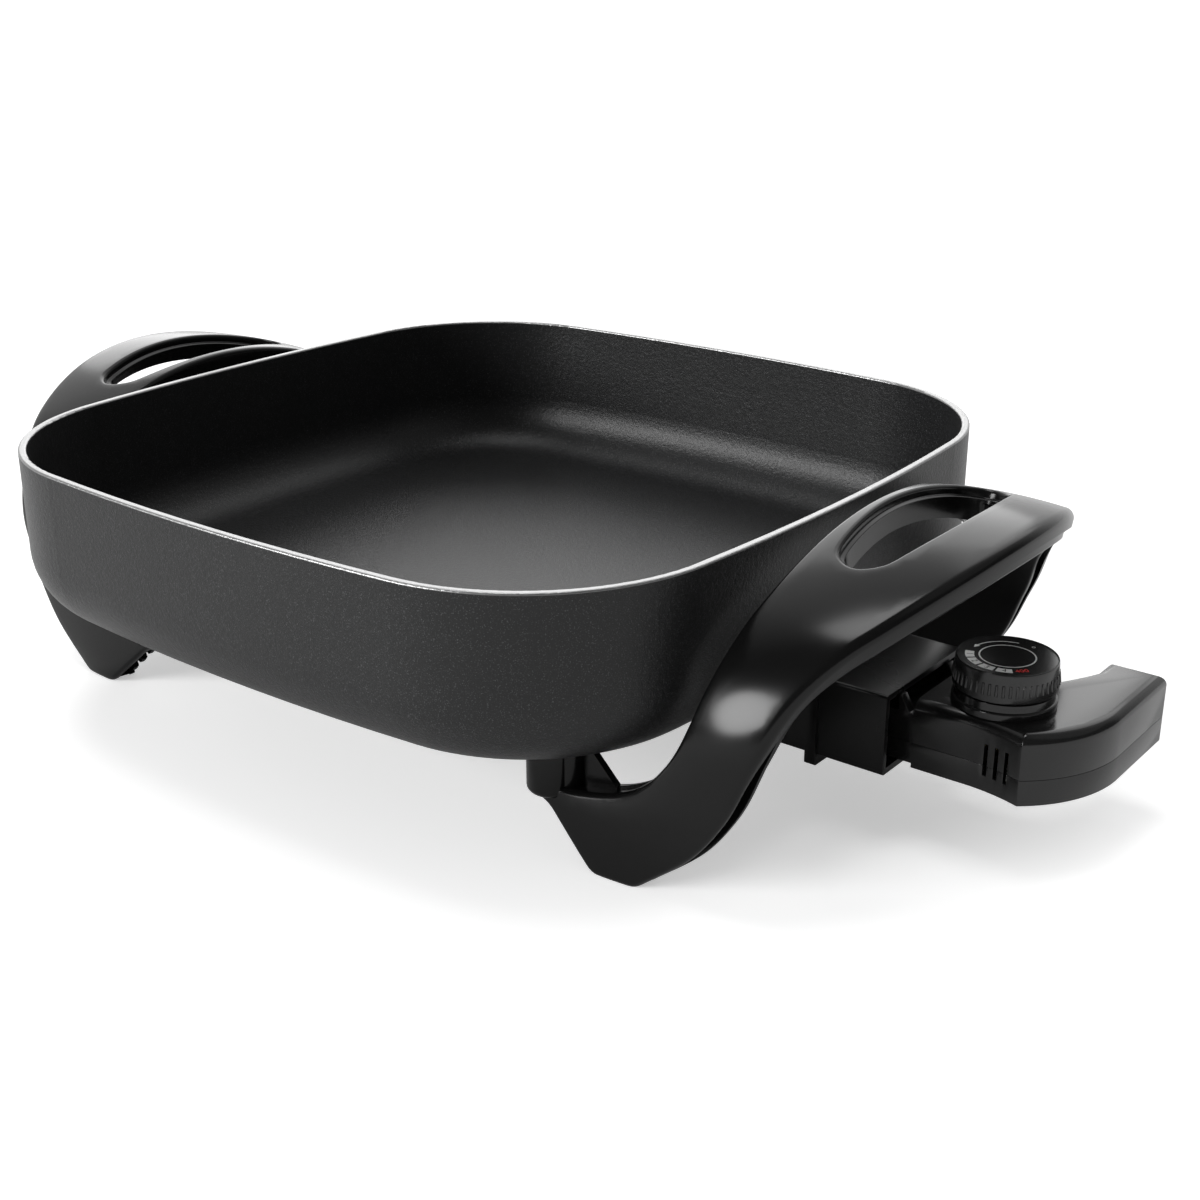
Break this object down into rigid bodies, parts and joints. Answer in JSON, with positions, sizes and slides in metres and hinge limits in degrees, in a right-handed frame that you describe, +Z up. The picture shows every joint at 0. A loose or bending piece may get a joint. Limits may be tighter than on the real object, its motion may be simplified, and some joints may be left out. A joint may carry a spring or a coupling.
{
  "type": "electric skillet",
  "caption": "Square deep-sided electric frying pan on two S-curved handle legs, with a terminal guard and a plug-in heat control that carries a temperature dial.",
  "frame": {"origin": "on the worktop, below the centre of the pan", "axes": "+X from the left handle to the heat control, +Y away from the front, +Z up"},
  "size_m": [0.467, 0.305, 0.1106],
  "materials": {
    "pan_metal": "satin dark non-stick coating with a fine speckle, bare at the rim",
    "handle_plastic": "polished black phenolic",
    "guard_plastic": "polished black plastic",
    "case_plastic": "polished black plastic",
    "dial_plastic": "semi-gloss black plastic",
    "dial_print": "black printed disc with light marks",
    "element_steel": "drawn steel sheath, dulled by heat",
    "probe_steel": "bright drawn steel",
    "screw_steel": "zinc-plated steel",
    "ceramic": "unglazed white ceramic",
    "contact_metal": "sprung brass",
    "bushing_rubber": "black moulded rubber"
  },
  "bodies": {
    "skillet": {"pan": "pan_metal", "heating_element": "element_steel", "element_insulators": "ceramic", "terminal_pins": "probe_steel", "left_handle": "handle_plastic", "right_handle": "handle_plastic", "handle_screws": "screw_steel", "terminal_guard": "guard_plastic", "guard_screws": "screw_steel"},
    "heat_control": {"control_upper_shell": "case_plastic", "control_lower_shell": "case_plastic", "case_screws": "screw_steel", "thermostat_probe": "probe_steel", "terminal_block": "ceramic", "contact_sleeves": "contact_metal", "thermostat_frame": "probe_steel", "switch_blades": "contact_metal", "switch_spacers": "ceramic", "switch_contacts": "contact_metal", "dial_bushing": "contact_metal", "dial_collar": "case_plastic", "cord_inlet_bushing": "bushing_rubber"},
    "dial": {"dial_knob": "dial_plastic", "dial_face": "dial_print", "dial_shaft": "contact_metal"}
  },
  "joints": [
    {"name": "control_pull", "type": "slide", "parent": "skillet", "child": "heat_control", "axis": [1, 0, 0], "range_m": [0, 0.085]},
    {"name": "dial_turn", "type": "hinge", "parent": "heat_control", "child": "dial", "pos_m": [0.2126, 0, 0.06], "axis": [0, 0, 1], "range_deg": [0, 270]}
  ]
}
